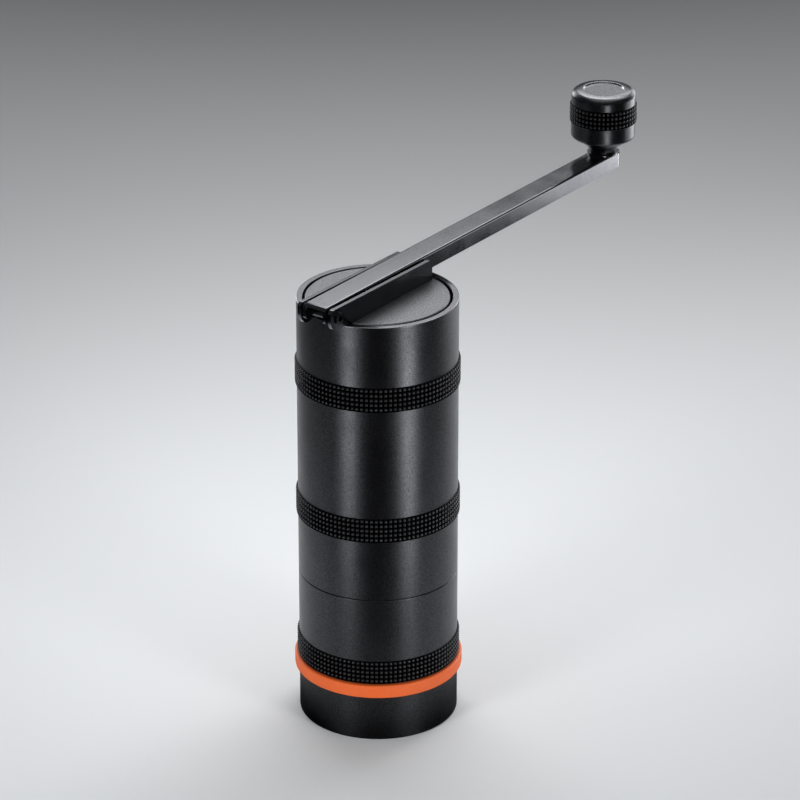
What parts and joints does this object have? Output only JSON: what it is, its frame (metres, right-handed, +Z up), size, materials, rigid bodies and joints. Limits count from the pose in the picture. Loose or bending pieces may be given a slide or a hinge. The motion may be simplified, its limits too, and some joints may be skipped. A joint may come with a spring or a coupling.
{
  "type": "hand crank coffee grinder",
  "caption": "Slim cylindrical hand coffee grinder with knurled bands, a silicone ring, conical burrs inside and a long folding crank with a round knob.",
  "frame": {"origin": "centre of the flat base of the grounds cup, on the body's axis", "axes": "+Z up along the axis of the body and shaft, +X along the crank arm from the hinge to the knob, +Y across the hinge pin"},
  "size_m": [0.1741, 0.055, 0.1778],
  "materials": {
    "black_anodised": "black anodised aluminium, satin",
    "grey_anodised": "dark grey anodised aluminium, satin",
    "bare_aluminium": "machined, bare",
    "steel": "ground steel",
    "burr_steel": "hardened steel, sharp edges",
    "polished_steel": "polished bearing steel",
    "black_plastic": "black, satin",
    "orange_silicone": "orange silicone, satin",
    "bronze": "sintered bronze"
  },
  "bodies": {
    "body": {"body_tube": "black_anodised", "upper_bearing_bridge": "bare_aluminium", "upper_bearing_outer_race": "polished_steel", "upper_bearing_balls": "polished_steel", "burr_carrier": "bare_aluminium", "lower_bearing_outer_race": "polished_steel", "lower_bearing_balls": "polished_steel", "ring_burr": "burr_steel", "burr_lock_ring": "grey_anodised"},
    "cup": {"grounds_cup": "black_anodised", "silicone_ring": "orange_silicone"},
    "shaft": {"drive_shaft": "steel", "shaft_collar": "bare_aluminium", "spacer_sleeve": "steel", "upper_bearing_inner_race": "polished_steel", "lower_bearing_inner_race": "polished_steel"},
    "burr": {"cone_burr": "burr_steel", "burr_spring": "steel", "click_plate": "steel"},
    "dial": {"grind_dial": "black_plastic", "detent_balls": "polished_steel", "detent_springs": "steel"},
    "head": {"lid": "black_anodised", "drive_socket": "steel", "lid_magnet": "polished_steel", "lid_bracket": "black_anodised", "bracket_screws": "steel", "thrust_washers": "steel", "hinge_pin": "steel", "hinge_screw": "steel"},
    "arm": {"crank_arm": "black_anodised", "knob_axle": "steel", "knob_washer": "steel"},
    "knob": {"knob_body": "black_anodised", "knob_bushes": "bronze", "knob_cap": "black_anodised"}
  },
  "joints": [
    {"name": "cup_removal", "type": "slide", "parent": "body", "child": "cup", "axis": [0, 0, 1], "range_m": [-0.065, 0]},
    {"name": "crank_spin", "type": "hinge", "parent": "body", "child": "shaft", "pos_m": [0, 0, 0.1], "axis": [0, 0, 1], "continuous": true},
    {"name": "burr_travel", "type": "slide", "parent": "shaft", "child": "burr", "axis": [0, 0, 1], "range_m": [-0.0008, 0.0004], "deforming": ["burr_spring"]},
    {"name": "dial_turn", "type": "hinge", "parent": "burr", "child": "dial", "pos_m": [0, 0, 0.0555], "axis": [0, 0, 1], "range_deg": [-360, 180]},
    {"name": "lid_lift", "type": "slide", "parent": "shaft", "child": "head", "axis": [0, 0, 1], "range_m": [0, 0.03]},
    {"name": "arm_fold", "type": "hinge", "parent": "head", "child": "arm", "pos_m": [-0.0293, 0, 0.1508], "axis": [0, -1, 0], "range_deg": [0, 255]},
    {"name": "knob_spin", "type": "hinge", "parent": "arm", "child": "knob", "pos_m": [0.1292, 0, 0.165], "axis": [0, 0, 1], "continuous": true}
  ],
  "couplings": [
    {"joint": "dial_turn", "follows": "burr_travel", "rad_per_m": 7854}
  ]
}
